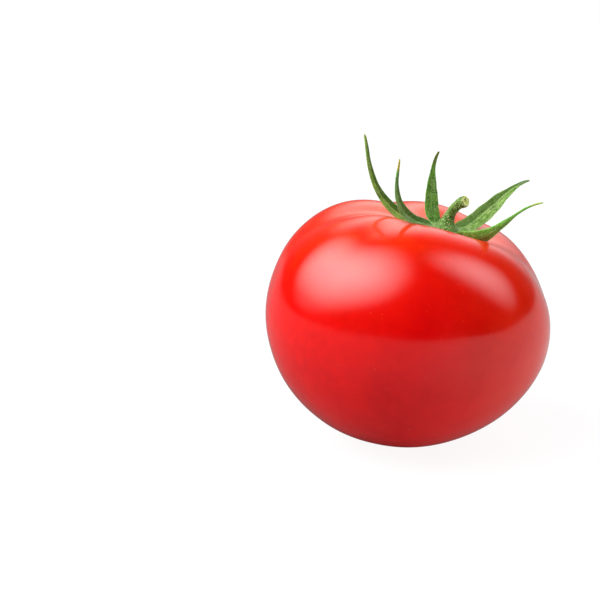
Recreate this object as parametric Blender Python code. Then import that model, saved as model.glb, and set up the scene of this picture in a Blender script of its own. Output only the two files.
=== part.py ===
"""A tomato as picked: one ripe fruit, its short stalk and its five sepals, at rest on its flat spot.

Metres, +Z up. The origin is the middle of the flat spot. The fruit, the stalk and the sepals are
modelled in the fruit frame, whose +Z is the core's axis and whose z = 0 is the fruit's widest ring.
That frame leans towards +X, as the fruit comes to rest. Azimuths are measured round +Z from +X.
"""

import math
from collections import namedtuple

import bmesh
import bpy
from mathutils import Matrix, Vector
from mathutils.bvhtree import BVHTree

# The fruit
FRUIT_RADIUS = 0.0366  # at the widest ring
CROWN_HEIGHT = 0.0323  # of the half towards the stalk, before the hollow there
BASE_HEIGHT = 0.0355  # of the half towards the blossom's end
HOLLOW_DEPTH = 0.0101  # of the hollow round the stalk
HOLLOW_RADIUS = 0.0100
CROWN_SHIFT = 0.0010  # the core's upper end is off centre by this, towards +X
BASE_SHIFT = 0.0023  # and its lower end by this, towards -X
LEAN = math.radians(19.4)  # of the core's axis from the vertical, towards +X
FLAT_SPOT_DEPTH = 0.0008  # how far the skin is pressed in where the fruit rests

# The furrows that part the crown into lobes
FURROW_PEAK = math.radians(32)  # from the stalk, where a furrow is deepest
FURROW_FADE = 2.6  # the higher, the shorter the furrows
Furrow = namedtuple("Furrow", "azimuth depth half_width")
FURROWS = (
    Furrow(math.radians(63), 0.0014, 0.0089),
    Furrow(math.radians(132), 0.0040, 0.0113),
    Furrow(math.radians(184), 0.0040, 0.0078),
    Furrow(math.radians(221), 0.0016, 0.0074),
    Furrow(math.radians(359), 0.0036, 0.0109),
)

# The stalk, which flares into the receptacle that carries the sepals
RECEPTACLE_RADIUS = 0.0033
RECEPTACLE_THICKNESS = 0.0008
STALK_RADIUS = 0.0012
STALK_LENGTH = 0.0106  # along its curve, from the skin to the broken end
STALK_AZIMUTH = math.radians(-46)  # the way it bends over
STALK_FIRST_LEAN = math.radians(-17)  # from the core's axis, at the skin
STALK_LAST_LEAN = math.radians(56)  # at the broken end
STALK_BEND_POWER = 1.3  # the higher, the nearer to the broken end the bend is
FLARE_START = 0.0016  # from the skin, above the receptacle
FLARE_RADIUS = 0.0024  # of the stalk there
FLARE_LENGTH = 0.0040  # over which it narrows to its plain radius
KNUCKLE_RADIUS = 0.00145  # of the swollen joint where the stalk broke
KNUCKLE_LENGTH = 0.0026
KNUCKLE_CUT = 0.18  # the share of the swelling's arch that broke away

# The sepals. The rises are angles above the fruit frame's level at the root, at one third, at two
# thirds and at the tip. The swing is the turn sideways from root to tip, the twist about its length.
Sepal = namedtuple("Sepal", "azimuth length width root_width widest rises swing twist")
SEPALS = (
    Sepal(190, 0.0338, 0.0034, 0.0022, 0.30, (-9, 22, 53, 60), 4, -42),
    Sepal(231, 0.0297, 0.0030, 0.0022, 0.20, (26, 12, 57, 76), -46, -35),
    Sepal(120, 0.0212, 0.0037, 0.0032, 0.20, (-12, 52, 60, 116), -8, -20),
    Sepal(42, 0.0270, 0.0039, 0.0032, 0.42, (8, 44, 45, 11), 0, 20),
    Sepal(-50, 0.0284, 0.0036, 0.0034, 0.25, (0, 44, 57, 29), 13, -45),
)
SEPAL_TAPER = 1.2  # the higher, the blunter the tip
SEPAL_TWIST_END = 0.25  # the share of its length by which a sepal has its whole twist
SEPAL_ROOT_THICKNESS = 0.0009
SEPAL_TIP_THICKNESS = 0.0003
SEPAL_TIP_WIDTH = 0.0005
SEPAL_CUP = 0.16  # how far a sepal's edges stand above its middle, as a share of its half width

PIECE_GAP = 0.0003  # between pieces that touch

# The meshes
FRUIT_RINGS = 36
FRUIT_SECTORS = 64
STALK_RINGS = 18
STALK_SIDES = 16
SEPAL_STATIONS = 20
SEPAL_SIDES = 10


def furrow_depth(polar, azimuth, across):
    """How far the furrows press the skin in at this place."""
    along = polar / FURROW_PEAK
    fade = along**FURROW_FADE * math.exp(FURROW_FADE * (1 - along))
    total = 0.0
    for furrow in FURROWS:
        aside = 2 * across * abs(math.sin((azimuth - furrow.azimuth) / 2))
        total += furrow.depth / (1 + (aside / furrow.half_width) ** 2)
    return fade * total


def skin_point(polar, azimuth):
    """A point of the skin in the fruit frame. The polar angle is 0 at the stalk and pi under it."""
    height = CROWN_HEIGHT if polar < math.pi / 2 else BASE_HEIGHT
    across = FRUIT_RADIUS * math.sin(polar)
    up = height * math.cos(polar)
    outward = Vector((across / FRUIT_RADIUS**2, 0, up / height**2)).normalized()
    pressed = furrow_depth(polar, azimuth, across)
    across -= pressed * outward.x
    up -= pressed * outward.z
    if polar < math.pi / 2:
        up -= HOLLOW_DEPTH * math.exp(-((across / HOLLOW_RADIUS) ** 2))
        shift = CROWN_SHIFT * math.cos(polar)
    else:
        shift = BASE_SHIFT * math.cos(polar)
    return Vector((across * math.cos(azimuth) + shift, across * math.sin(azimuth), up))


def close_rings(mesh, rings):
    """Skins a bmesh over rings of vertices that run anticlockwise seen from the last ring's side."""
    sides = len(rings[0])
    for lower, upper in zip(rings, rings[1:]):
        for side in range(sides):
            beside = (side + 1) % sides
            mesh.faces.new((lower[side], lower[beside], upper[beside], upper[side]))


def fan(mesh, ring, tip):
    """Closes one end of a ringed skin with triangles that meet at a point."""
    for side, vertex in enumerate(ring):
        mesh.faces.new((vertex, ring[(side + 1) % len(ring)], tip))


def fruit_mesh():
    """The whole skin, before the flat spot is cut."""
    mesh = bmesh.new()
    rings = []
    for ring in range(FRUIT_RINGS - 1, 0, -1):
        polar = math.pi * ring / FRUIT_RINGS
        azimuths = [2 * math.pi * sector / FRUIT_SECTORS for sector in range(FRUIT_SECTORS)]
        rings.append([mesh.verts.new(skin_point(polar, azimuth)) for azimuth in azimuths])
    close_rings(mesh, rings)
    fan(mesh, rings[-1], mesh.verts.new(skin_point(0, 0)))
    fan(mesh, rings[0][::-1], mesh.verts.new(skin_point(math.pi, 0)))
    return mesh


def cut_flat_spot(mesh, leaning):
    """Cuts the skin's lowest part off level and returns the middle of the cut, in the fruit frame."""
    down = leaning.inverted() @ Vector((0, 0, -1))
    lowest = max(vertex.co.dot(down) for vertex in mesh.verts)
    everything = mesh.verts[:] + mesh.edges[:] + mesh.faces[:]
    cut = bmesh.ops.bisect_plane(
        mesh,
        geom=everything,
        plane_co=down * (lowest - FLAT_SPOT_DEPTH),
        plane_no=down,
        clear_outer=True,
    )
    border = [item for item in cut["geom_cut"] if isinstance(item, bmesh.types.BMEdge)]
    flat = bmesh.ops.contextual_create(mesh, geom=border)["faces"][0]
    flat.normal_update()
    if flat.normal.dot(down) < 0:
        flat.normal_flip()
    return flat.calc_center_median_weighted()


class Skin:
    """The fruit's skin as a height over the level plane of the fruit frame."""

    def __init__(self, mesh):
        self.tree = BVHTree.FromBMesh(mesh)
        self.seat = Vector((CROWN_SHIFT, 0, self.height(CROWN_SHIFT, 0)))

    def height(self, x, y):
        """The height of the skin's upper side above a place."""
        above = Vector((x, y, 2 * CROWN_HEIGHT))
        return self.tree.ray_cast(above, Vector((0, 0, -1)))[0].z


def receptacle_ring(mesh, skin, radius, height):
    """A ring of vertices round the seat, at one height above the skin."""
    ring = []
    for side in range(STALK_SIDES):
        angle = 2 * math.pi * side / STALK_SIDES
        place = skin.seat + radius * Vector((math.cos(angle), math.sin(angle), 0))
        place.z = skin.height(place.x, place.y) + height
        ring.append(mesh.verts.new(place))
    return ring


def stalk_mesh(skin):
    """The receptacle, whose underside follows the skin, and the stalk that grows out of it."""
    mesh = bmesh.new()
    rings = [
        receptacle_ring(mesh, skin, RECEPTACLE_RADIUS / 2, PIECE_GAP),
        receptacle_ring(mesh, skin, RECEPTACLE_RADIUS, PIECE_GAP),
        receptacle_ring(mesh, skin, RECEPTACLE_RADIUS, PIECE_GAP + RECEPTACLE_THICKNESS),
    ]
    step = STALK_LENGTH / STALK_RINGS
    aside = Vector((math.cos(STALK_AZIMUTH), math.sin(STALK_AZIMUTH), 0))
    middle = skin.seat.copy()
    for ring in range(1, STALK_RINGS + 1):
        share = (ring - 0.5) / STALK_RINGS
        lean = STALK_FIRST_LEAN + (STALK_LAST_LEAN - STALK_FIRST_LEAN) * share**STALK_BEND_POWER
        along = aside * math.sin(lean) + Vector((0, 0, math.cos(lean)))
        middle += step * along
        if ring * step < FLARE_START:
            continue
        across = aside * math.cos(lean) - Vector((0, 0, math.sin(lean)))
        square = along.cross(across)
        radius = stalk_radius(ring * step)
        circle = []
        for side in range(STALK_SIDES):
            angle = 2 * math.pi * side / STALK_SIDES - STALK_AZIMUTH
            offset = across * math.cos(angle) + square * math.sin(angle)
            circle.append(mesh.verts.new(middle + radius * offset))
        rings.append(circle)
    close_rings(mesh, rings)
    fan(mesh, rings[0][::-1], mesh.verts.new(skin.seat + Vector((0, 0, PIECE_GAP))))
    mesh.faces.new(rings[-1])
    return mesh


def stalk_radius(along):
    """The stalk's radius at a length from the skin: the flare, the plain stalk, then the knuckle."""
    flare = max(0.0, 1 - (along - FLARE_START) / FLARE_LENGTH) ** 2
    radius = STALK_RADIUS + (FLARE_RADIUS - STALK_RADIUS) * flare
    from_end = STALK_LENGTH - along
    if from_end < KNUCKLE_LENGTH:
        arch = KNUCKLE_CUT + (1 - KNUCKLE_CUT) * from_end / KNUCKLE_LENGTH
        swelling = math.sin(math.pi * arch)
        radius += (KNUCKLE_RADIUS - STALK_RADIUS) * swelling
    return radius


def rise_at(rises, share):
    """A sepal's rise at a share of its length: a smooth curve through its four rises (Lagrange)."""
    places = [0, 1 / 3, 2 / 3, 1]
    total = 0.0
    for here, rise in zip(places, rises):
        weight = 1.0
        for other in places:
            if other != here:
                weight *= (share - other) / (here - other)
        total += weight * rise
    return math.radians(total)


def sepal_heading(sepal, share):
    """The way a sepal's middle line runs at a share of its length, and the level way across it."""
    rise = rise_at(sepal.rises, share)
    turn = math.radians(sepal.azimuth + sepal.swing * share)
    along = Vector((math.cos(rise) * math.cos(turn), math.cos(rise) * math.sin(turn), math.sin(rise)))
    return along, Vector((-math.sin(turn), math.cos(turn), 0))


def eased(share):
    """Runs smoothly from 0 to 1 as the share does, and stays at 1 beyond."""
    share = min(1.0, share)
    return share * share * (3 - 2 * share)


def sepal_width(sepal, share):
    """The width grows from the root to the widest place, then tapers to the tip."""
    if share < sepal.widest:
        swell = math.sin(math.pi / 2 * share / sepal.widest)
        return sepal.root_width + (sepal.width - sepal.root_width) * swell
    left = 1 - ((share - sepal.widest) / (1 - sepal.widest)) ** SEPAL_TAPER
    return SEPAL_TIP_WIDTH + (sepal.width - SEPAL_TIP_WIDTH) * left


def sepal_mesh(sepal, skin):
    """A cupped blade along its own curve. Where it would sink into the skin, it lies on it."""
    mesh = bmesh.new()
    azimuth = math.radians(sepal.azimuth)
    root = (RECEPTACLE_RADIUS + PIECE_GAP) * Vector((math.cos(azimuth), math.sin(azimuth), 0))
    middle = skin.seat + root
    middle.z = skin.height(middle.x, middle.y) + PIECE_GAP + SEPAL_ROOT_THICKNESS / 2
    step = sepal.length / (SEPAL_STATIONS - 1)
    rings = []
    for station in range(SEPAL_STATIONS):
        share = station / (SEPAL_STATIONS - 1)
        if station:
            middle += step * sepal_heading(sepal, (station - 0.5) / (SEPAL_STATIONS - 1))[0]
        along, level = sepal_heading(sepal, share)
        twist = math.radians(sepal.twist) * eased(share / SEPAL_TWIST_END)
        twisting = Matrix.Rotation(twist, 3, along)
        aside = twisting @ level
        upward = twisting @ along.cross(level)
        half_width = sepal_width(sepal, share) / 2
        thickness = SEPAL_ROOT_THICKNESS + (SEPAL_TIP_THICKNESS - SEPAL_ROOT_THICKNESS) * share
        section = []
        for side in range(SEPAL_SIDES):
            angle = 2 * math.pi * side / SEPAL_SIDES
            cup = SEPAL_CUP * half_width * math.cos(angle) ** 2
            place = middle + aside * half_width * math.cos(angle)
            section.append(place + upward * (thickness / 2 * math.sin(angle) + cup))
        lift = max(skin.height(place.x, place.y) + PIECE_GAP - place.z for place in section)
        if lift > 0:
            section = [place + Vector((0, 0, lift)) for place in section]
        rings.append([mesh.verts.new(place) for place in section])
    close_rings(mesh, rings)
    mesh.faces.new(rings[0][::-1])
    mesh.faces.new(rings[-1])
    return mesh


def painted(name, colour, roughness, coat=0.0):
    """A plain material: nothing on a tomato is metallic."""
    material = bpy.data.materials.new(name)
    material.use_nodes = True
    shader = material.node_tree.nodes["Principled BSDF"]
    shader.inputs["Base Color"].default_value = (*colour, 1)
    shader.inputs["Roughness"].default_value = roughness
    shader.inputs["Metallic"].default_value = 0.0
    shader.inputs["Coat Weight"].default_value = coat
    return material


def add_piece(name, mesh, material, parent):
    """Turns a bmesh into one named, smoothly shaded object in the fruit frame."""
    data = bpy.data.meshes.new(name)
    mesh.to_mesh(data)
    mesh.free()
    data.materials.append(material)
    data.shade_smooth()
    data.set_sharp_from_angle(angle=math.radians(50))
    piece = bpy.data.objects.new(name, data)
    piece.parent = parent
    bpy.context.scene.collection.objects.link(piece)
    return piece


def main():
    for leftover in list(bpy.data.objects):
        bpy.data.objects.remove(leftover)

    fruit = fruit_mesh()
    skin = Skin(fruit)
    leaning = Matrix.Rotation(LEAN, 3, "Y")
    flat_middle = cut_flat_spot(fruit, leaning)

    fruit_frame = bpy.data.objects.new("fruit_frame", None)
    fruit_frame.location = -(leaning @ flat_middle)
    fruit_frame.rotation_euler = leaning.to_euler()
    bpy.context.scene.collection.objects.link(fruit_frame)

    add_piece("fruit", fruit, painted("ripe_skin", (0.62, 0.012, 0.008), 0.2, coat=0.4), fruit_frame)
    add_piece("stalk", stalk_mesh(skin), painted("stalk_green", (0.10, 0.20, 0.03), 0.65), fruit_frame)
    for number, sepal in enumerate(SEPALS, start=1):
        green = painted(f"sepal_{number}_green", (0.06, 0.17, 0.02), 0.6)
        add_piece(f"sepal_{number}", sepal_mesh(sepal, skin), green, fruit_frame)


main()
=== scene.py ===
"""The tomato's looks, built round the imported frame: fine meshes, procedural materials, studio and camera.

Metres throughout. The fine meshes repeat the design's own formulas in the fruit frame, whose +Z is the
core's axis and whose z = 0 is the fruit's widest ring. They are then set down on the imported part. Azimuths
run round +Z from +X. A paint's colours are linear red, green and blue.
"""

import math
import random
from collections import namedtuple

import bmesh
import bpy
from mathutils import Matrix, Vector, noise
from mathutils.bvhtree import BVHTree

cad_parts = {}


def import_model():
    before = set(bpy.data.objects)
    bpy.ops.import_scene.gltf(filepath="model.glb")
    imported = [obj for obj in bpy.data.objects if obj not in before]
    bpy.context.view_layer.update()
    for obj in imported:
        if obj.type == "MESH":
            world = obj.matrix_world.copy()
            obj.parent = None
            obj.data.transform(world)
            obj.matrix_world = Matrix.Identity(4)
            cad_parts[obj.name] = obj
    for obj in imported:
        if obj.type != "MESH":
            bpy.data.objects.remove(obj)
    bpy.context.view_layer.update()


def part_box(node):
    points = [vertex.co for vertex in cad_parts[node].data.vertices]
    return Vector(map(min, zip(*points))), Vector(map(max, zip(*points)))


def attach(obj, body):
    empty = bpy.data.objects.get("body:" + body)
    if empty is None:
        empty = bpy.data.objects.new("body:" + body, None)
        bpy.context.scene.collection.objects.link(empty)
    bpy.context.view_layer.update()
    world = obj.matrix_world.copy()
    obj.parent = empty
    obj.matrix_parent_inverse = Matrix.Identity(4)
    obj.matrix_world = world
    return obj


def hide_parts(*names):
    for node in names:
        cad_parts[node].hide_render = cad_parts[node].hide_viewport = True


MM = 0.001

# The fruit, as in the design
FRUIT_RADIUS = 0.0366
CROWN_HEIGHT = 0.0323
BASE_HEIGHT = 0.0355
HOLLOW_DEPTH = 0.0101
HOLLOW_RADIUS = 0.0100
CROWN_SHIFT = 0.0010
BASE_SHIFT = 0.0023
LEAN = math.radians(19.4)
FURROW_PEAK = math.radians(32)
FURROW_FADE = 2.6
Furrow = namedtuple("Furrow", "azimuth depth half_width")
FURROWS = (
    Furrow(math.radians(63), 0.0014, 0.0089),
    Furrow(math.radians(132), 0.0040, 0.0113),
    Furrow(math.radians(184), 0.0040, 0.0078),
    Furrow(math.radians(221), 0.0016, 0.0074),
    Furrow(math.radians(359), 0.0036, 0.0109),
)

# The skin's fine shape
FRUIT_RINGS = 180
FRUIT_SECTORS = 288
POLE_CROWDING = 0.6  # how much closer the rings lie at both ends: 0 is even
Wave = namedtuple("Wave", "size height")
WAVES = (Wave(15 * MM, 0.16 * MM), Wave(6 * MM, 0.020 * MM))
FLAT_SPOT_BLEND = 0.25 * MM  # how softly the skin turns into the flat spot
SCAR_RADIUS = 1.5 * MM  # of the dry scar that the blossom left
SCAR_DIMPLE = 0.5 * MM  # its depth
SCAR_NUB = 0.45 * MM  # the height of the nub in its middle

# The skin's tints
CROWN_TINT_SPREAD = math.radians(60)  # the polar angle over which the orange round the stalk fades
RIPE_AZIMUTH = math.radians(280)  # the side that has ripened up to the stalk
RIPE_HALF_WIDTH = math.radians(56)
RIPE_SHARE = 0.97  # how much of its orange that side has lost
DULL_RADIUS = 19 * MM  # round the stalk, where the skin shines less and is a little more orange
CORK_RADIUS = 4.6 * MM  # of the corky ring at the stalk

# The stalk, as in the design, and its fine shape
RECEPTACLE_RADIUS = 0.0033
STALK_RADIUS = 0.0012
STALK_LENGTH = 0.0106
STALK_AZIMUTH = math.radians(-46)
STALK_FIRST_LEAN = math.radians(-17)
STALK_LAST_LEAN = math.radians(56)
STALK_BEND_POWER = 1.3
FLARE_START = 0.0016
FLARE_RADIUS = 0.0024
FLARE_LENGTH = 0.0040
KNUCKLE_RADIUS = 0.00145
KNUCKLE_LENGTH = 0.0026
KNUCKLE_CUT = 0.18
STALK_RINGS = 72
STALK_SIDES = 48
STALK_RIBS = 5
RIB_HEIGHT = 0.05 * MM
RIB_TWIST = 3  # radians, over the stalk's length
WART_HEIGHT = 0.05 * MM
WART_SIZE = 0.45 * MM

# The disc on the skin where the sepals grow together, which the stalk rises from
DISC_RADIUS = 4.6 * MM
DISC_UNEVENNESS = 0.06  # of its edge, as a share of its radius
DISC_LOBES = 1.7  # the higher, the more often its edge goes in and out
DISC_EDGE = 0.45 * MM  # its height above the skin at its edge
DISC_RISE_POWER = 1.8  # the higher, the later it rises on the way in
DISC_TUCK = 0.2 * MM  # how much smaller its underside is
DISC_RINGS = 7
WEB_AZIMUTH = math.radians(4)  # where it reaches further out, between two sepals
WEB_REACH = 2.2 * MM
WEB_HALF_WIDTH = math.radians(38)

# The stalk's broken end: a torn rim round a paler core, with one dark strand sunk in it
TornRing = namedtuple("TornRing", "radius height")  # the radius as a share of the rim's
TORN_RINGS = (
    TornRing(0.94, 0.16 * MM),
    TornRing(0.84, 0.24 * MM),
    TornRing(0.66, 0.16 * MM),
    TornRing(0.45, 0.10 * MM),
    TornRing(0.22, 0.13 * MM),
)
TORN_HEIGHT = 0.22 * MM  # of the torn fibres, added to each ring's height
TORN_SIZE = 0.5 * MM  # how far apart they stand
CORE_HEIGHT = 0.12 * MM  # in the middle
BLEACHED = 0.35  # how far the two rings below the rim have taken on the broken end's colour
STRAND_BACK = 0.45 * MM  # from the middle, on the side that the stalk leans away from
STRAND_ASIDE = 0.15 * MM
STRAND_RADIUS = 0.32 * MM
STRAND_DEPTH = 0.35 * MM

# The sepals: their middle lines are the design's, and their twists and widths are finer. Each twist and
# width is a (share of the length, value) pair. Angles are in degrees and widths in millimetres. The cup is
# how far the edges stand above the middle, as a share of the half width. The sepal lies on the skin up to
# the drape, and is dry from the tip on, which are both shares of its length.
Sepal = namedtuple("Sepal", "azimuth length rises swing twists widths cup drape tip seed")
SEPALS = (
    Sepal(190, 0.0338, (-9, 22, 53, 60), 4, ((0, 0), (0.25, -42), (1, -48)),
          ((0, 2.8), (0.10, 3.3), (0.30, 3.5), (0.55, 2.4), (0.68, 2.0), (0.80, 1.65), (0.93, 1.3),
           (1, 0.7)),
          0.20, 0.16, 0.95, 1),
    Sepal(231, 0.0297, (26, 12, 57, 76), -46, ((0, 0), (0.25, -35), (0.55, -72), (1, -70)),
          ((0, 2.8), (0.20, 3.0), (0.50, 2.5), (0.66, 1.75), (0.78, 1.1), (0.90, 0.75), (1, 0.4)),
          0.30, 0.14, 0.90, 2),
    Sepal(120, 0.0212, (-12, 52, 60, 116), -8, ((0, 0), (0.25, -20), (1, -20)),
          ((0, 3.8), (0.20, 3.8), (0.42, 3.35), (0.53, 2.7), (0.65, 1.95), (0.78, 1.1), (0.90, 0.85),
           (1, 0.5)),
          0.16, 0.14, 0.80, 3),
    Sepal(42, 0.0270, (8, 44, 45, 11), 0, ((0, 0), (0.25, 20), (1, 20)),
          ((0, 4.8), (0.12, 4.8), (0.50, 3.95), (0.72, 2.1), (0.82, 1.25), (0.93, 0.85), (1, 0.45)),
          0.16, 0.12, 0.84, 4),
    Sepal(-50, 0.0284, (0, 44, 57, 29), 13, ((0, 0), (0.11, -36), (0.30, -45), (1, -45)),
          ((0, 5.2), (0.12, 5.2), (0.30, 4.0), (0.42, 2.7), (0.52, 1.9), (0.62, 1.25), (0.72, 0.75),
           (1, 0.45)),
          0.16, 0.09, 0.88, 5),
)
SEPAL_ROOT_THICKNESS = 0.70 * MM
SEPAL_TIP_THICKNESS = 0.28 * MM
SEPAL_THINNING = 0.7  # the lower, the sooner it thins
SEPAL_STATIONS = 96
SEPAL_ROOT_STATIONS = 10
SEPAL_COLUMNS = 14
SEPAL_ROOT_START = 1.6 * MM  # from the axis, hidden in the disc
SEPAL_ROOT_HALF_WIDTH = 0.8 * MM  # at that start
SEPAL_CLEARANCE = 0.12 * MM  # over the skin
SEPAL_NEAR_SKIN = 0.5  # the share of its length in which a sepal is kept off the skin
Uneven = namedtuple("Uneven", "amount pace")  # the higher the pace, the more often it changes lengthwise
SEPAL_WOBBLE = Uneven(10, 7)  # of the twist, in degrees at the tip
SEPAL_RAGGED = Uneven(0.10, 9)  # of the edges, as a share of the half width
SEPAL_CURL = Uneven(0.22 * MM, 6)  # of the edges' height
MIDRIB_WIDTH = 0.13  # as a share of the half width
MIDRIB_GROOVE = 0.10 * MM  # on the upper side
MIDRIB_KEEL = 0.16 * MM  # on the underside
MIDRIB_FULL_WIDTH = 1.2 * MM  # the half width from which it has its full height
TIP_ROUNDING = 0.03  # the share of its length in which a sepal's tip is rounded
TIP_ROUNDING_REACH = 0.031  # a little more, so that the very end keeps some width
TIP_LEAST_THICKNESS = 0.3  # as a share of the tip's thickness
PIECE_GAP = 0.0003

# Each sepal's dark green, light green and dry tip, and which half is darker with painted shade: 1, -1, or 0
# for neither
SEPAL_COLOURS = (
    ((0.085, 0.230, 0.006), (0.380, 0.580, 0.090), (0.36, 0.40, 0.06), -1),
    ((0.090, 0.290, 0.020), (0.270, 0.540, 0.180), (0.62, 0.48, 0.10), -1),
    ((0.032, 0.130, 0.001), (0.115, 0.300, 0.008), (0.16, 0.24, 0.05), 0),
    ((0.075, 0.200, 0.010), (0.330, 0.530, 0.130), (0.14, 0.22, 0.10), 1),
    ((0.085, 0.340, 0.010), (0.200, 0.540, 0.070), (0.42, 0.52, 0.12), 0),
)
PALE_SPECKLE = (0.90, 1.0, 0.62)  # what the light green turns towards in the pale speckles

# Hairs
Hairs = namedtuple("Hairs", "count length thickness")
SEPAL_HAIRS = Hairs(420, 0.42 * MM, 0.030 * MM)
STALK_HAIRS = Hairs(700, 0.50 * MM, 0.028 * MM)
HAIR_SIDES = 3
HAIR_SWAY = 0.35  # how far a hair may lean away from the surface's normal
HAIR_LENGTHS = (0.5, 1.3)  # the shortest and the longest, as shares of the plain length
STALK_HAIR_SEED = 11
SEPAL_HAIR_SEED = 20

# The camera and the studio
CAMERA_DISTANCE = 0.5
CAMERA_ELEVATION = math.radians(18.06)
CAMERA_LENS = 117.5
CAMERA_SENSOR = 36.0
CAMERA_LEFT = 28.3 * MM  # the fruit's middle stands right of the camera's aim by this
CAMERA_RAISE = 2.4 * MM  # and below it by this
Softbox = namedtuple("Softbox", "azimuth elevation roll width height brightness")  # angles in degrees
LEFT_SOFTBOX = Softbox(-79, 48, -52, 1.60, 2.25, 7.4)
RIGHT_SOFTBOX = Softbox(90, 45, 8, 0.76, 1.45, 4.0)
SOFTBOX_DISTANCE = 0.9

# The backdrop's white patch: the product of four fades. Each runs from its start to its end between a low
# and a high value of a ray's direction, in which +X is right, +Y is away from the camera and +Z is up.
ROOM_BRIGHTNESS = 0.005
BACKDROP_BRIGHTNESS = 2.1
BACKDROP_TILT = 0.7  # how much lower the white begins on the right
Fade = namedtuple("Fade", "low high start end")
BACKDROP_FRONT = Fade(0.35, 0.90, ROOM_BRIGHTNESS, BACKDROP_BRIGHTNESS)  # over Y
BACKDROP_SIDES = Fade(0.12, 0.74, 1.0, 0.05)  # over X, left and right alike
BACKDROP_TOP = Fade(0.65, 1.0, 1.0, 0.1)  # over Z
BACKDROP_FOOT = Fade(0.06, 0.60, 0.08, 1.0)  # over Z, tilted

# The floor and its own light, which stands for the bright white surface that the photo's skin mirrors
FLOOR_REACH = 8.0
FLOOR_GLOW_LEFT = 0.12  # as the skin mirrors it, on the left of the fruit
FLOOR_GLOW_RIGHT = 0.52  # and on the right
FLOOR_GLOW_SOFT = 0.50  # added where its light isn't mirrored
FLOOR_GLOW_SEEN = 0.92  # as the camera sees it
FLOOR_SHADE_RADIUS = 90 * MM  # within it the mirrored glow fades towards the fruit


def eased(share):
    """Runs smoothly from 0 to 1 as the share does, and stays at either end beyond."""
    share = min(1.0, max(0.0, share))
    return share * share * (3 - 2 * share)


def mixed(first, second, share):
    """The value or place at this share of the way from the first to the second."""
    return first + (second - first) * share


def bell(distance, radius):
    """1 in the middle, fading to 0 past the radius."""
    return math.exp(-((distance / radius) ** 2))


def curve_through(points, place):
    """The height at a place of a smooth curve through (place, height) points."""
    last = len(points) - 1
    index = 0
    while index < last - 1 and place > points[index + 1][0]:
        index += 1

    def slope(knot):
        before, after = points[max(0, knot - 1)], points[min(last, knot + 1)]
        return (after[1] - before[1]) / (after[0] - before[0])

    start, end = points[index], points[index + 1]
    span = end[0] - start[0]
    t = (place - start[0]) / span
    rise = eased(t) * (end[1] - start[1]) + start[1]
    bend = t * (1 - t) * ((1 - t) * (slope(index) * span) - t * (slope(index + 1) * span))
    return rise + bend


# The fruit


def furrow_depth(polar, azimuth, across):
    """How far the furrows press the skin in at this place."""
    along = polar / FURROW_PEAK
    fade = along**FURROW_FADE * math.exp(FURROW_FADE * (1 - along))
    total = 0.0
    for furrow in FURROWS:
        aside = 2 * across * abs(math.sin((azimuth - furrow.azimuth) / 2))
        total += furrow.depth / (1 + (aside / furrow.half_width) ** 2)
    return fade * total


def skin_point(polar, azimuth):
    """The design's skin in the fruit frame, and the way out of it."""
    height = CROWN_HEIGHT if polar < math.pi / 2 else BASE_HEIGHT
    across = FRUIT_RADIUS * math.sin(polar)
    up = height * math.cos(polar)
    outward = Vector((across / FRUIT_RADIUS**2, 0, up / height**2)).normalized()
    pressed = furrow_depth(polar, azimuth, across)
    across -= pressed * outward.x
    up -= pressed * outward.z
    if polar < math.pi / 2:
        up -= HOLLOW_DEPTH * bell(across, HOLLOW_RADIUS)
        shift = CROWN_SHIFT * math.cos(polar)
    else:
        shift = BASE_SHIFT * math.cos(polar)
    turned = Matrix.Rotation(azimuth, 3, "Z")
    return turned @ Vector((across, 0, up)) + Vector((shift, 0, 0)), turned @ outward


def fine_skin_point(polar, azimuth):
    """The design's skin with its slow waves and the blossom's scar."""
    place, outward = skin_point(polar, azimuth)
    lift = sum(wave.height * noise.noise(place / wave.size) for wave in WAVES)
    if polar > math.pi / 2:
        from_pole = FRUIT_RADIUS * math.sin(polar)
        lift += SCAR_NUB * bell(from_pole, SCAR_RADIUS / 2)
        lift -= SCAR_DIMPLE * bell(from_pole, 2 * SCAR_RADIUS)
    return place + outward * lift


def crowded(share):
    """Spreads shares of the way from pole to pole so that they lie closer at the poles."""
    return share - POLE_CROWDING * math.sin(2 * math.pi * share) / (2 * math.pi)


def close_rings(mesh, rings):
    """Skins a bmesh over rings of vertices that run anticlockwise seen from the last ring's side."""
    sides = len(rings[0])
    for lower, upper in zip(rings, rings[1:]):
        for side in range(sides):
            beside = (side + 1) % sides
            mesh.faces.new((lower[side], lower[beside], upper[beside], upper[side]))


def fan(mesh, ring, tip):
    """Closes one end of a ringed skin with triangles that meet at a point."""
    for side, vertex in enumerate(ring):
        mesh.faces.new((vertex, ring[(side + 1) % len(ring)], tip))


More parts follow.
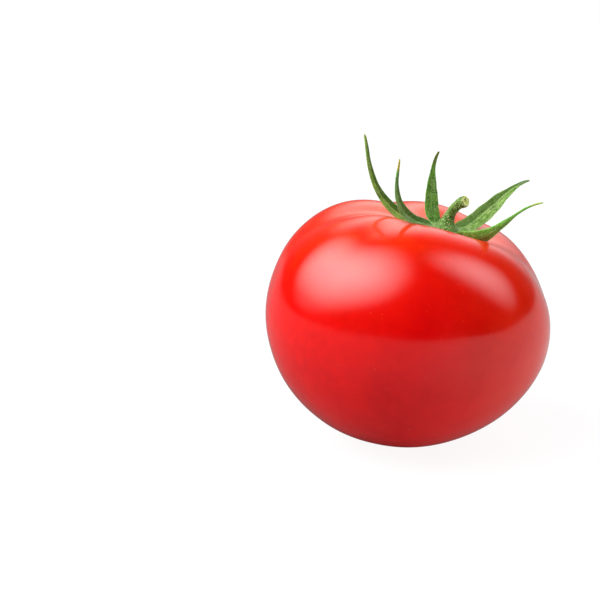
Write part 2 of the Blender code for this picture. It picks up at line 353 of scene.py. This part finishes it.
def fruit_mesh():
    """The fine skin, with the layers that its paint reads."""
    mesh = bmesh.new()
    crown = mesh.verts.layers.float.new("crown")
    dull = mesh.verts.layers.float.new("dull")
    cork = mesh.verts.layers.float.new("cork")
    scar = mesh.verts.layers.float.new("scar")

    def vertex(polar, azimuth):
        new = mesh.verts.new(fine_skin_point(polar, azimuth))
        from_pole = FRUIT_RADIUS * math.sin(polar)
        from_ripe = math.remainder(azimuth - RIPE_AZIMUTH, 2 * math.pi)
        ripened = RIPE_SHARE * bell(from_ripe, RIPE_HALF_WIDTH)
        new[crown] = bell(polar, CROWN_TINT_SPREAD) * (1 - ripened)
        if polar < math.pi / 2:
            new[dull] = bell(from_pole, DULL_RADIUS)
            new[cork] = bell(from_pole, CORK_RADIUS)
        else:
            new[scar] = bell(from_pole, SCAR_RADIUS)
        return new

    azimuths = [2 * math.pi * sector / FRUIT_SECTORS for sector in range(FRUIT_SECTORS)]
    rings = []
    for ring in range(FRUIT_RINGS - 1, 0, -1):
        polar = math.pi * crowded(ring / FRUIT_RINGS)
        rings.append([vertex(polar, azimuth) for azimuth in azimuths])
    close_rings(mesh, rings)
    fan(mesh, rings[-1], vertex(0, 0))
    fan(mesh, rings[0][::-1], vertex(math.pi, 0))
    return mesh


def place_on_part(mesh):
    """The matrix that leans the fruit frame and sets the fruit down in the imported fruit's box."""
    leaning = Matrix.Rotation(LEAN, 4, "Y")
    places = [leaning @ vertex.co for vertex in mesh.verts]
    lowest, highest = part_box("fruit")
    shift = Vector()
    for axis in range(2):
        values = [place[axis] for place in places]
        shift[axis] = (lowest[axis] + highest[axis] - min(values) - max(values)) / 2
    shift.z = highest.z - max(place.z for place in places)
    return Matrix.Translation(shift) @ leaning


def press_flat(mesh):
    """Presses the skin under the floor's level up to it, with a soft edge."""
    for vertex in mesh.verts:
        vertex.co.z = (vertex.co.z + math.hypot(vertex.co.z, FLAT_SPOT_BLEND)) / 2


class Skin:
    """The fruit's skin as a height over the level plane of the fruit frame; the stalk stands on its seat."""

    def __init__(self, mesh):
        self.tree = BVHTree.FromBMesh(mesh)
        self.seat = Vector((CROWN_SHIFT, 0, self.height(CROWN_SHIFT, 0)))

    def height(self, x, y):
        """The height of the skin's upper side above a place."""
        above = Vector((x, y, 2 * CROWN_HEIGHT))
        return self.tree.ray_cast(above, Vector((0, 0, -1)))[0].z


# The stalk


def stalk_radius(along):
    """The stalk's radius at a length from the skin: the flare, the plain stalk, then the knuckle."""
    flare = max(0.0, 1 - (along - FLARE_START) / FLARE_LENGTH) ** 2
    radius = STALK_RADIUS + (FLARE_RADIUS - STALK_RADIUS) * flare
    from_end = STALK_LENGTH - along
    if from_end < KNUCKLE_LENGTH:
        arch = KNUCKLE_CUT + (1 - KNUCKLE_CUT) * from_end / KNUCKLE_LENGTH
        radius += (KNUCKLE_RADIUS - STALK_RADIUS) * math.sin(math.pi * arch)
    return radius


def disc_ring(mesh, skin, radius, height):
    """One ring of the disc, at a height over the skin, wider where it webs two sepals."""
    ring = []
    for side in range(STALK_SIDES):
        angle = 2 * math.pi * side / STALK_SIDES
        from_web = math.remainder(angle - WEB_AZIMUTH, 2 * math.pi)
        web = WEB_REACH * bell(from_web, WEB_HALF_WIDTH) * (radius / DISC_RADIUS) ** 2
        uneven = noise.noise(Vector((math.cos(angle), math.sin(angle), radius / MM)) * DISC_LOBES)
        lobed = radius * (1 + DISC_UNEVENNESS * uneven) + web
        place = skin.seat + lobed * Vector((math.cos(angle), math.sin(angle), 0))
        place.z = skin.height(place.x, place.y) + height
        ring.append(mesh.verts.new(place))
    return ring


def stalk_mesh(skin):
    """The disc, the stalk that rises from it, and the stalk's broken end."""
    mesh = bmesh.new()
    cut = mesh.verts.layers.float.new("cut")
    pit = mesh.verts.layers.float.new("pit")
    rings = [
        disc_ring(mesh, skin, DISC_RADIUS / 2, SEPAL_CLEARANCE),
        disc_ring(mesh, skin, DISC_RADIUS - DISC_TUCK, SEPAL_CLEARANCE),
    ]
    for ring in range(DISC_RINGS):
        inward = ring / DISC_RINGS
        radius = mixed(DISC_RADIUS, FLARE_RADIUS, inward)
        height = mixed(DISC_EDGE, FLARE_START, inward**DISC_RISE_POWER)
        rings.append(disc_ring(mesh, skin, radius, height))

    step = STALK_LENGTH / STALK_RINGS
    aside = Vector((math.cos(STALK_AZIMUTH), math.sin(STALK_AZIMUTH), 0))
    middle = skin.seat.copy()
    for ring in range(1, STALK_RINGS + 1):
        share = (ring - 0.5) / STALK_RINGS
        lean = STALK_FIRST_LEAN + (STALK_LAST_LEAN - STALK_FIRST_LEAN) * share**STALK_BEND_POWER
        along = aside * math.sin(lean) + Vector((0, 0, math.cos(lean)))
        middle += step * along
        if ring * step < FLARE_START:
            continue
        across = aside * math.cos(lean) - Vector((0, 0, math.sin(lean)))
        square = along.cross(across)
        radius = stalk_radius(ring * step)
        circle = []
        for side in range(STALK_SIDES):
            angle = 2 * math.pi * side / STALK_SIDES - STALK_AZIMUTH
            out = across * math.cos(angle) + square * math.sin(angle)
            rough = RIB_HEIGHT * math.cos(STALK_RIBS * angle + RIB_TWIST * share)
            rough += WART_HEIGHT * noise.noise((middle + radius * out) / WART_SIZE)
            circle.append(mesh.verts.new(middle + (radius + rough) * out))
        rings.append(circle)
    cap(mesh, rings, middle, along, across, square, cut, pit)
    close_rings(mesh, rings)
    fan(mesh, rings[0][::-1], mesh.verts.new(skin.seat + Vector((0, 0, SEPAL_CLEARANCE))))
    return mesh


def cap(mesh, rings, middle, along, across, square, cut, pit):
    """Adds the rings of the broken end, and closes it."""
    rim = rings[-1]
    for vertex in rings[-3] + rings[-2]:
        vertex[cut] = BLEACHED
    strand = middle - across * STRAND_BACK - square * STRAND_ASIDE
    for torn_ring in TORN_RINGS:
        ring = []
        for vertex in rim:
            place = mixed(middle, vertex.co, torn_ring.radius)
            torn = torn_ring.height + TORN_HEIGHT * noise.noise(place / TORN_SIZE)
            dark = bell((place - strand).length, STRAND_RADIUS)
            new = mesh.verts.new(place + along * (torn - STRAND_DEPTH * dark))
            new[cut] = 1.0
            new[pit] = dark
            ring.append(new)
        rings.append(ring)
    tip = mesh.verts.new(middle + along * CORE_HEIGHT)
    tip[cut] = 1.0
    fan(mesh, rings[-1], tip)


# The sepals


def rise_at(rises, share):
    """A sepal's rise at a share of its length: a smooth curve through its four rises (Lagrange)."""
    places = [0, 1 / 3, 2 / 3, 1]
    total = 0.0
    for here, rise in zip(places, rises):
        weight = 1.0
        for other in places:
            if other != here:
                weight *= (share - other) / (here - other)
        total += weight * rise
    return math.radians(total)


def sepal_heading(sepal, share):
    """The way a sepal's middle line runs at a share of its length, and the level way across it."""
    rise = rise_at(sepal.rises, share)
    turn = math.radians(sepal.azimuth + sepal.swing * share)
    along = Vector((math.cos(rise) * math.cos(turn), math.cos(rise) * math.sin(turn), math.sin(rise)))
    return along, Vector((-math.sin(turn), math.cos(turn), 0))


# A sepal's cross-section; its drape is 1 where it lies on the skin and 0 where it stands free
Station = namedtuple("Station", "share middle along aside upward half_width thickness drape")


def sepal_stations(sepal, skin):
    """Where each cross-section of a sepal stands, from inside the disc to the tip."""
    azimuth = math.radians(sepal.azimuth)
    outward = Vector((math.cos(azimuth), math.sin(azimuth), 0))
    level = Vector((-math.sin(azimuth), math.cos(azimuth), 0))
    root = RECEPTACLE_RADIUS + PIECE_GAP
    stations = []
    for number in range(SEPAL_ROOT_STATIONS):
        share = number / SEPAL_ROOT_STATIONS
        middle = skin.seat + mixed(SEPAL_ROOT_START, root, share) * outward
        half_width = mixed(SEPAL_ROOT_HALF_WIDTH, sepal.widths[0][1] * MM / 2, share)
        stations.append(
            Station(0.0, middle, outward, level, Vector((0, 0, 1)), half_width, SEPAL_ROOT_THICKNESS, 1.0)
        )
    middle = skin.seat + root * outward
    middle.z = skin.height(middle.x, middle.y) + PIECE_GAP + SEPAL_ROOT_THICKNESS / 2
    step = sepal.length / (SEPAL_STATIONS - 1)
    for number in range(SEPAL_STATIONS):
        share = number / (SEPAL_STATIONS - 1)
        if number:
            middle = middle + step * sepal_heading(sepal, (number - 0.5) / (SEPAL_STATIONS - 1))[0]
        along, level = sepal_heading(sepal, share)
        uneven = noise.noise(Vector((SEPAL_WOBBLE.pace * share, sepal.seed, 0)))
        wobble = SEPAL_WOBBLE.amount * share * uneven
        twist = math.radians(curve_through(sepal.twists, share) + wobble)
        twisting = Matrix.Rotation(twist, 3, along)
        width = curve_through(sepal.widths, share) * MM
        rounding = max(0.0, (share - 1 + TIP_ROUNDING) / TIP_ROUNDING_REACH)
        tip_round = math.sqrt(1 - rounding**2)
        thickness = mixed(SEPAL_ROOT_THICKNESS, SEPAL_TIP_THICKNESS, share**SEPAL_THINNING)
        stations.append(
            Station(
                share,
                middle,
                along,
                twisting @ level,
                twisting @ along.cross(level),
                width / 2 * tip_round,
                thickness * max(TIP_LEAST_THICKNESS, tip_round),
                1 - eased(share / sepal.drape),
            )
        )
    return stations


def sepal_pair(station, sepal, skin, across):
    """The points of a sepal's upper side and underside at a place across it, from -1 to 1."""
    side = 1 if across > 0 else -1
    edge = abs(across) ** 3
    # In both noises, the last two coordinates only keep the sepals and their sides apart
    uneven = noise.noise(Vector((SEPAL_RAGGED.pace * station.share, sepal.seed + 3 * side, 1)))
    ragged = 1 + SEPAL_RAGGED.amount * edge * uneven
    place = station.middle + station.aside * station.half_width * across * ragged
    uneven = noise.noise(Vector((SEPAL_CURL.pace * station.share, sepal.seed, 5 * side)))
    curl = SEPAL_CURL.amount * edge * uneven
    cup = sepal.cup * station.half_width * across**2 + curl * (1 - station.drape)
    half = station.thickness / 2 * math.sqrt(1 - edge)
    midrib = bell(across, MIDRIB_WIDTH) * min(1.0, station.half_width / MIDRIB_FULL_WIDTH)
    heights = (half - MIDRIB_GROOVE * midrib, -half - MIDRIB_KEEL * midrib)
    pair = [place + station.upward * (cup + height) for height in heights]
    if station.share >= SEPAL_NEAR_SKIN:
        return pair
    ground = skin.height(place.x, place.y) + SEPAL_CLEARANCE + station.thickness / 2
    draped = [Vector((place.x, place.y, ground + height)) for height in heights]
    pair = [mixed(free, lying, station.drape) for free, lying in zip(pair, draped)]
    under = pair[1]
    lift = max(0.0, skin.height(under.x, under.y) + SEPAL_CLEARANCE - under.z)
    return [point + Vector((0, 0, lift)) for point in pair]


def sepal_section(station, sepal, skin):
    """One cross-section's vertices as (place, across) pairs: back over the top, then along the underside."""
    top = []
    under = []
    for column in range(SEPAL_COLUMNS + 1):
        across = math.sin(math.pi / 2 * (2 * column / SEPAL_COLUMNS - 1))
        upper, lower = sepal_pair(station, sepal, skin, across)
        top.append((upper, across))
        under.append((lower, across))
    return top[::-1] + under[1:-1]


def sepal_mesh(sepal, skin):
    """A sepal as a closed ribbon, with the layers that its paint reads."""
    mesh = bmesh.new()
    length_layer = mesh.verts.layers.float.new("along")
    width_layer = mesh.verts.layers.float.new("across")
    rings = []
    for station in sepal_stations(sepal, skin):
        ring = []
        for place, across in sepal_section(station, sepal, skin):
            vertex = mesh.verts.new(place)
            vertex[length_layer] = station.share
            vertex[width_layer] = across
            ring.append(vertex)
        rings.append(ring)
    close_rings(mesh, rings)
    mesh.faces.new(rings[0][::-1])
    mesh.faces.new(rings[-1])
    return mesh


# Hairs


def hair_mesh(surface, hairs, seed, where):
    """Fine closed hairs standing on the faces of a surface that the test lets through."""
    chance = random.Random(seed)
    mesh = bmesh.new()
    faces = [face for face in surface.faces if where(face)]
    areas = [face.calc_area() for face in faces]
    for face in chance.choices(faces, weights=areas, k=hairs.count):
        corner = chance.choice(face.verts).co
        foot = mixed(face.calc_center_median(), corner, chance.random())
        sway = Vector([chance.gauss(0, HAIR_SWAY) for axis in range(3)])
        way = (face.normal + sway).normalized()
        length = hairs.length * chance.uniform(*HAIR_LENGTHS)
        aside = way.orthogonal().normalized() * hairs.thickness
        square = way.cross(aside)
        start = foot - way * hairs.thickness
        base = []
        for side in range(HAIR_SIDES):
            angle = 2 * math.pi * side / HAIR_SIDES
            base.append(mesh.verts.new(start + aside * math.cos(angle) + square * math.sin(angle)))
        mesh.faces.new(base[::-1])
        fan(mesh, base, mesh.verts.new(foot + way * length))
    return mesh


# Materials


class Nodes:
    """A node tree, with short ways to add the nodes that a material, a light or the world needs."""

    def __init__(self, tree):
        self.tree = tree

    def node(self, kind, inputs=None, **settings):
        """Adds a node, sets it and feeds its inputs, which are given by name or by number."""
        new = self.tree.nodes.new(kind)
        for name, value in settings.items():
            setattr(new, name, value)
        for name, value in (inputs or {}).items():
            self.feed(new.inputs[name], value)
        return new

    def feed(self, socket, value):
        if isinstance(value, bpy.types.NodeSocket):
            self.tree.links.new(value, socket)
        elif isinstance(value, tuple) and len(value) == 3 and len(socket.default_value) == 4:
            socket.default_value = (*value, 1)
        else:
            socket.default_value = value

    def span(self, value, low, high, start=0.0, end=1.0):
        """Maps low..high smoothly onto start..end."""
        inputs = {"Value": value, "From Min": low, "From Max": high, "To Min": start, "To Max": end}
        new = self.node("ShaderNodeMapRange", inputs, interpolation_type="SMOOTHSTEP")
        return new.outputs["Result"]

    def maths(self, operation, first, second=0.0):
        return self.node("ShaderNodeMath", {0: first, 1: second}, operation=operation).outputs[0]

    def vector_maths(self, operation, first, second=(0, 0, 0)):
        return self.node("ShaderNodeVectorMath", {0: first, 1: second}, operation=operation).outputs

    def parts(self, vector):
        """A vector's X, Y and Z."""
        return self.node("ShaderNodeSeparateXYZ", {0: vector}).outputs


class Paint(Nodes):
    """A material and its node tree."""

    def __init__(self, name):
        self.material = bpy.data.materials.new(name)
        self.material.use_nodes = True
        super().__init__(self.material.node_tree)
        self.places = self.node("ShaderNodeTexCoord").outputs["Object"]

    def noise(self, size, detail=3.0, roughness=0.5, distortion=0.0):
        """Noise whose features are about this size."""
        inputs = {"Vector": self.places, "Scale": 1 / size, "Detail": detail}
        inputs.update({"Roughness": roughness, "Distortion": distortion})
        return self.node("ShaderNodeTexNoise", inputs).outputs["Fac"]

    def streaks(self, along, across, stretch, scale, detail, offset=0.0):
        """Noise that runs lengthwise; the lower the stretch, the longer its streaks."""
        inputs = {"X": self.maths("MULTIPLY", along, stretch), "Y": across, "Z": offset}
        places = self.node("ShaderNodeCombineXYZ", inputs).outputs[0]
        inputs = {"Vector": places, "Scale": scale, "Detail": detail}
        return self.node("ShaderNodeTexNoise", inputs).outputs["Fac"]

    def dots(self, spacing):
        """The distance to the nearest of many scattered points, in spacings."""
        inputs = {"Vector": self.places, "Scale": 1 / spacing}
        return self.node("ShaderNodeTexVoronoi", inputs).outputs["Distance"]

    def attribute(self, name):
        return self.node("ShaderNodeAttribute", attribute_name=name).outputs["Fac"]

    def blend(self, share, first, second):
        """A mix of two colours, which are inputs 6 and 7 of a Mix node."""
        return self.node("ShaderNodeMix", {0: share, 6: first, 7: second}, data_type="RGBA").outputs[2]

    def bump(self, height, depth, before=None):
        """A normal that is bumped by this depth, on top of an earlier bump if one is given."""
        inputs = {"Height": height, "Distance": depth}
        if before:
            inputs["Normal"] = before
        return self.node("ShaderNodeBump", inputs).outputs["Normal"]

    def finish(self, **inputs):
        """Sets the shader's inputs, whose names are written with underscores."""
        shader = self.tree.nodes["Principled BSDF"]
        for name, value in inputs.items():
            self.feed(shader.inputs[name.replace("_", " ")], value)
        return self.material


def skin_paint():
    """Ripe tomato skin: clear waxy red with paler flecks, orange towards the stalk, corky at both ends, with
    painted light on its right side.
    """
    paint = Paint("ripe_tomato_skin")
    slow = paint.span(paint.noise(22 * MM), 0.35, 0.7)
    colour = paint.blend(slow, (0.66, 0.0002, 0.0022), (0.80, 0.0008, 0.0026))
    mottle = paint.span(paint.noise(2.2 * MM, detail=4), 0.4, 0.75, 0.0, 0.35)
    colour = paint.blend(mottle, colour, (0.86, 0.002, 0.003))

    uneven = paint.span(paint.noise(5 * MM), 0.2, 0.8, 0.35, 0.9)
    crown = paint.maths("MULTIPLY", paint.attribute("crown"), uneven)
    colour = paint.blend(crown, colour, (0.86, 0.095, 0.003))
    dull = paint.attribute("dull")
    colour = paint.blend(paint.maths("MULTIPLY", dull, 0.3), colour, (0.88, 0.12, 0.003))
    # Painted light: the right side is painted lighter and more orange, standing in for the brighter light on
    # that side
    rightward = paint.span(paint.parts(paint.places)["X"], 0.0, FRUIT_RADIUS)
    uneven = paint.span(paint.noise(9 * MM), 0.2, 0.8, 0.5, 1.0)
    colour = paint.blend(paint.maths("MULTIPLY", rightward, uneven), colour, (0.88, 0.022, 0.005))

    fleck = paint.span(paint.dots(1.5 * MM), 0.05, 0.16, 1.0, 0.0)
    shown = paint.span(paint.noise(4 * MM), 0.45, 0.7, 0.0, 0.30)
    colour = paint.blend(paint.maths("MULTIPLY", fleck, shown), colour, (0.95, 0.22, 0.10))

    crack = paint.span(paint.noise(0.7 * MM, detail=6, distortion=1.5), 0.4, 0.6)
    cork = paint.span(paint.attribute("cork"), 0.35, 0.75)
    cork = paint.maths("MULTIPLY", cork, paint.maths("ADD", crack, 0.3))
    colour = paint.blend(cork, colour, (0.20, 0.12, 0.035))
    scar = paint.span(paint.attribute("scar"), 0.2, 0.6)
    scar = paint.maths("MULTIPLY", scar, paint.maths("ADD", crack, 0.4))
    colour = paint.blend(scar, colour, (0.10, 0.045, 0.016))

    roughness = paint.span(paint.noise(9 * MM, detail=5), 0.3, 0.7, 0.11, 0.16)
    dry = paint.maths("MULTIPLY", paint.maths("ADD", cork, scar), 0.4)
    roughness = paint.maths("ADD", roughness, dry)
    roughness = paint.maths("ADD", roughness, paint.maths("MULTIPLY", dull, 0.20))
    normal = paint.bump(paint.noise(3.5 * MM, detail=2), 0.010 * MM)
    normal = paint.bump(paint.noise(0.45 * MM, detail=3), 0.0022 * MM, normal)
    normal = paint.bump(fleck, 0.003 * MM, normal)
    return paint.finish(
        Base_Color=colour,
        Roughness=roughness,
        Normal=normal,
        Subsurface_Weight=0.25,
        Subsurface_Radius=(1.0, 0.12, 0.06),
        Subsurface_Scale=2.5 * MM,
        Coat_Weight=0.1,
        Coat_Roughness=0.1,
    )


def paler(colour, share):
    """A colour moved this share of the way to white."""
    return tuple(mixed(value, 1.0, share) for value in colour)


def darker(colour, share):
    """A colour with this share of its light left."""
    return tuple(value * share for value in colour)


def leaf_paint(name, dark, light, tip, painted_shade_side, tip_start):
    """A sepal: green in lengthwise bands, speckled, one half darker with painted shade, with a pale midrib
    and a dry tip.
    """
    paint = Paint(name)
    along = paint.attribute("along")
    across = paint.attribute("across")
    from_midrib = paint.maths("ABSOLUTE", across)
    bands = paint.streaks(along, across, stretch=2.5, scale=4.5, detail=4.0, offset=0.3)
    colour = paint.blend(paint.span(bands, 0.35, 0.65), dark, light)
    # Painted shade: one half is darkened as if a fold kept the light off it, and shows fewer pale speckles
    half = paint.span(paint.maths("MULTIPLY", across, painted_shade_side), -0.05, 0.3)
    colour = paint.blend(paint.maths("MULTIPLY", half, 0.75), colour, darker(dark, 0.6))

    speckle = paint.span(paint.noise(0.42 * MM, detail=4, roughness=0.65), 0.44, 0.66)
    patch = paint.span(paint.noise(2.8 * MM, detail=2), 0.35, 0.75, 0.25, 0.95)
    patch = paint.maths("MULTIPLY", patch, paint.span(half, 0.0, 1.0, 1.0, 0.4))
    pale = tuple(mixed(value, tint, 0.30) * 0.9 for value, tint in zip(light, PALE_SPECKLE))
    colour = paint.blend(paint.maths("MULTIPLY", speckle, patch), colour, pale)
    shade = paint.span(paint.noise(0.30 * MM, detail=3, roughness=0.6), 0.50, 0.66, 0.0, 0.75)
    colour = paint.blend(shade, colour, darker(dark, 0.35))

    midrib = paint.span(from_midrib, 0.0, 0.12, 0.45, 0.0)
    colour = paint.blend(midrib, colour, paler(light, 0.12))
    edge = paint.span(from_midrib, 0.86, 1.0, 0.0, 0.35)
    colour = paint.blend(edge, colour, paler(light, 0.10))
    uneven = paint.span(paint.noise(1.6 * MM), 0.2, 0.8, -0.05, 0.05)
    dry = paint.span(paint.maths("ADD", along, uneven), tip_start - 0.06, tip_start + 0.06, 0.0, 0.85)
    colour = paint.blend(dry, colour, tip)

    veins = paint.streaks(along, across, stretch=1.2, scale=9.0, detail=2.0)
    normal = paint.bump(veins, 0.05 * MM)
    normal = paint.bump(paint.noise(0.35 * MM, detail=4), 0.05 * MM, normal)
    return paint.finish(
        Base_Color=colour,
        Roughness=paint.span(paint.noise(0.8 * MM), 0.3, 0.7, 0.5, 0.75),
        Normal=normal,
        Subsurface_Weight=0.35,
        Subsurface_Radius=(0.5, 1.0, 0.15),
        Subsurface_Scale=0.7 * MM,
        Specular_IOR_Level=0.22,
    )


def stalk_paint():
    """The stalk: dark green, pale dotted, yellow-green and torn at its broken end."""
    paint = Paint("stalk_green")
    slow = paint.span(paint.noise(2.4 * MM), 0.3, 0.7)
    colour = paint.blend(slow, (0.048, 0.150, 0.006), (0.120, 0.270, 0.030))
    dots = paint.span(paint.noise(0.40 * MM, detail=4, roughness=0.6), 0.50, 0.62, 0.0, 0.9)
    colour = paint.blend(dots, colour, (0.46, 0.66, 0.24))
    shade = paint.span(paint.noise(0.38 * MM, detail=2), 0.50, 0.64, 0.0, 0.9)
    colour = paint.blend(shade, colour, (0.012, 0.040, 0.002))
    fibres = paint.span(paint.noise(0.5 * MM, detail=4), 0.35, 0.65)
    torn = paint.blend(fibres, (0.46, 0.56, 0.10), (0.88, 0.94, 0.42))
    colour = paint.blend(paint.span(paint.attribute("cut"), 0.1, 0.8), colour, torn)
    colour = paint.blend(paint.span(paint.attribute("pit"), 0.15, 0.6), colour, (0.06, 0.06, 0.006))
    return paint.finish(
        Base_Color=colour,
        Roughness=paint.span(paint.noise(0.8 * MM), 0.3, 0.7, 0.5, 0.75),
        Normal=paint.bump(paint.noise(0.36 * MM, detail=4), 0.10 * MM),
        Subsurface_Weight=0.1,
        Subsurface_Radius=(0.4, 0.6, 0.15),
        Subsurface_Scale=0.5 * MM,
        Specular_IOR_Level=0.3,
    )


def hair_paint():
    """Whitish-green hairs."""
    paint = Paint("hair_pale_green")
    colour = paint.blend(paint.noise(0.6 * MM), (0.55, 0.65, 0.38), (0.85, 0.90, 0.70))
    return paint.finish(Base_Color=colour, Roughness=paint.span(paint.noise(1 * MM), 0.3, 0.7, 0.35, 0.5))


def floor_paint():
    """A pale floor with its own light, weaker on the fruit's left and close to the fruit."""
    paint = Paint("pale_floor")
    tone = paint.blend(paint.noise(0.3), (0.10, 0.10, 0.10), (0.12, 0.12, 0.12))
    ray = paint.node("ShaderNodeLightPath").outputs
    rightward = paint.parts(paint.vector_maths("NORMALIZE", paint.places)["Vector"])["X"]
    mirrored = paint.span(rightward, -0.3, 1.0, FLOOR_GLOW_LEFT, FLOOR_GLOW_RIGHT)
    distance = paint.vector_maths("LENGTH", paint.places)["Value"]
    mirrored = paint.maths("MULTIPLY", mirrored, paint.span(distance, 0.0, FLOOR_SHADE_RADIUS, 0.1, 1.0))
    soft = paint.span(ray["Is Glossy Ray"], 0.0, 1.0, FLOOR_GLOW_SOFT, 0.0)
    unseen = paint.maths("ADD", mirrored, soft)
    choice = {0: ray["Is Camera Ray"], 2: unseen, 3: FLOOR_GLOW_SEEN}
    return paint.finish(
        Base_Color=tone,
        Roughness=0.6,
        Specular_IOR_Level=0.0,
        Emission_Color=(1, 1, 1),
        Emission_Strength=paint.node("ShaderNodeMix", choice, data_type="FLOAT").outputs[0],
    )


# The pieces


def add_piece(name, mesh, material, replaced=None):
    """Turns a bmesh in the part's frame into one piece that rides on the part's body."""
    data = bpy.data.meshes.new(name)
    mesh.to_mesh(data)
    data.materials.append(material)
    data.shade_smooth()
    piece = bpy.data.objects.new(name, data)
    bpy.context.scene.collection.objects.link(piece)
    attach(piece, "root")
    if replaced:
        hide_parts(replaced)


def add_tomato():
    """Adds every piece, and returns the matrix that takes the fruit frame to the part's frame."""
    fruit = fruit_mesh()
    skin = Skin(fruit)
    placing = place_on_part(fruit)
    stalk = stalk_mesh(skin)
    sepals = [sepal_mesh(sepal, skin) for sepal in SEPALS]
    for mesh in [fruit, stalk, *sepals]:
        mesh.transform(placing)
        mesh.normal_update()
    press_flat(fruit)
    add_piece("fruit_skin", fruit, skin_paint(), "fruit")
    add_piece("stalk_fine", stalk, stalk_paint(), "stalk")
    hairs = hair_paint()
    cut = stalk.verts.layers.float["cut"]

    def is_green(face):
        return all(vertex[cut] < 0.5 for vertex in face.verts)

    fuzz = hair_mesh(stalk, STALK_HAIRS, STALK_HAIR_SEED, is_green)
    add_piece("stalk_hairs", fuzz, hairs)
    leaves = zip(SEPALS, SEPAL_COLOURS, sepals)
    for number, (sepal, colours, mesh) in enumerate(leaves, start=1):
        leaf = leaf_paint(f"sepal_{number}_leaf", *colours, sepal.tip)
        add_piece(f"sepal_{number}_leaf", mesh, leaf, f"sepal_{number}")
        fuzz = hair_mesh(mesh, SEPAL_HAIRS, SEPAL_HAIR_SEED + number, lambda face: True)
        add_piece(f"sepal_{number}_hairs", fuzz, hairs)
    return placing


# The studio


def facing(azimuth, elevation):
    """The direction at this many degrees to the right of the camera and above the level."""
    turn, rise = math.radians(azimuth), math.radians(elevation)
    return Vector((math.sin(turn) * math.cos(rise), -math.cos(turn) * math.cos(rise), math.sin(rise)))


def add_softbox(name, centre, softbox):
    """A rectangular light aimed at the fruit, brightest in its middle and fading out to its edges."""
    light = bpy.data.lights.new(name, "AREA")
    light.shape = "RECTANGLE"
    light.size = softbox.width
    light.size_y = softbox.height
    light.energy = softbox.brightness * math.pi * softbox.width * softbox.height
    light.use_nodes = True
    nodes = Nodes(light.node_tree)
    # Parametric coordinates run from 0 to 1 across the light
    spread = nodes.node("ShaderNodeNewGeometry").outputs["Parametric"]
    from_middle = nodes.vector_maths("DISTANCE", spread, (0.5, 0.5, 0))["Value"]
    fade = nodes.span(from_middle, 0.0, 0.5, 1.0, 0.0)
    nodes.feed(light.node_tree.nodes["Emission"].inputs["Strength"], fade)
    holder = bpy.data.objects.new(name, light)
    way = facing(softbox.azimuth, softbox.elevation)
    holder.location = centre + SOFTBOX_DISTANCE * way
    aim = (-way).to_track_quat("-Z", "Y").to_matrix()
    roll = Matrix.Rotation(math.radians(softbox.roll), 3, "Z")
    holder.rotation_euler = (aim @ roll).to_euler()
    bpy.context.scene.collection.objects.link(holder)


def add_floor():
    mesh = bpy.data.meshes.new("floor")
    corners = [(-1, -1), (1, -1), (1, 1), (-1, 1)]
    places = [(x * FLOOR_REACH, y * FLOOR_REACH, 0) for x, y in corners]
    mesh.from_pydata(places, [], [(0, 1, 2, 3)])
    mesh.materials.append(floor_paint())
    floor = bpy.data.objects.new("floor", mesh)
    bpy.context.scene.collection.objects.link(floor)


def add_world():
    """A white patch behind the fruit, in a dark room. The camera sees all of it as plain white."""
    world = bpy.data.worlds.new("studio")
    world.use_nodes = True
    nodes = Nodes(world.node_tree)
    way = nodes.parts(nodes.node("ShaderNodeTexCoord").outputs["Generated"])
    tilted = nodes.maths("ADD", way["Z"], nodes.maths("MULTIPLY", way["X"], BACKDROP_TILT))
    lighting = nodes.span(way["Y"], *BACKDROP_FRONT)
    for value, fade in (
        (nodes.maths("ABSOLUTE", way["X"]), BACKDROP_SIDES),
        (way["Z"], BACKDROP_TOP),
        (tilted, BACKDROP_FOOT),
    ):
        lighting = nodes.maths("MULTIPLY", lighting, nodes.span(value, *fade))
    seen = nodes.maths("MAXIMUM", lighting, nodes.node("ShaderNodeLightPath").outputs["Is Camera Ray"])
    background = world.node_tree.nodes["Background"]
    nodes.feed(background.inputs["Color"], (1, 1, 1))
    nodes.feed(background.inputs["Strength"], seen)
    bpy.context.scene.world = world


def add_camera(centre):
    """Looks down on the fruit from the front, aimed past its left."""
    forward = Vector((0, math.cos(CAMERA_ELEVATION), -math.sin(CAMERA_ELEVATION)))
    upward = Vector((0, math.sin(CAMERA_ELEVATION), math.cos(CAMERA_ELEVATION)))
    data = bpy.data.cameras.new("camera")
    data.lens = CAMERA_LENS
    data.sensor_width = CAMERA_SENSOR
    camera = bpy.data.objects.new("camera", data)
    aim = centre - Vector((CAMERA_LEFT, 0, 0)) + CAMERA_RAISE * upward
    camera.location = aim - CAMERA_DISTANCE * forward
    camera.rotation_euler = (math.pi / 2 - CAMERA_ELEVATION, 0, 0)
    bpy.context.scene.collection.objects.link(camera)
    bpy.context.scene.camera = camera


def main():
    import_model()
    placing = add_tomato()
    centre = placing.translation
    add_floor()
    add_world()
    add_softbox("left_softbox", centre, LEFT_SOFTBOX)
    add_softbox("right_softbox", centre, RIGHT_SOFTBOX)
    add_camera(centre)
    bpy.context.scene.view_settings.view_transform = "Standard"


main()
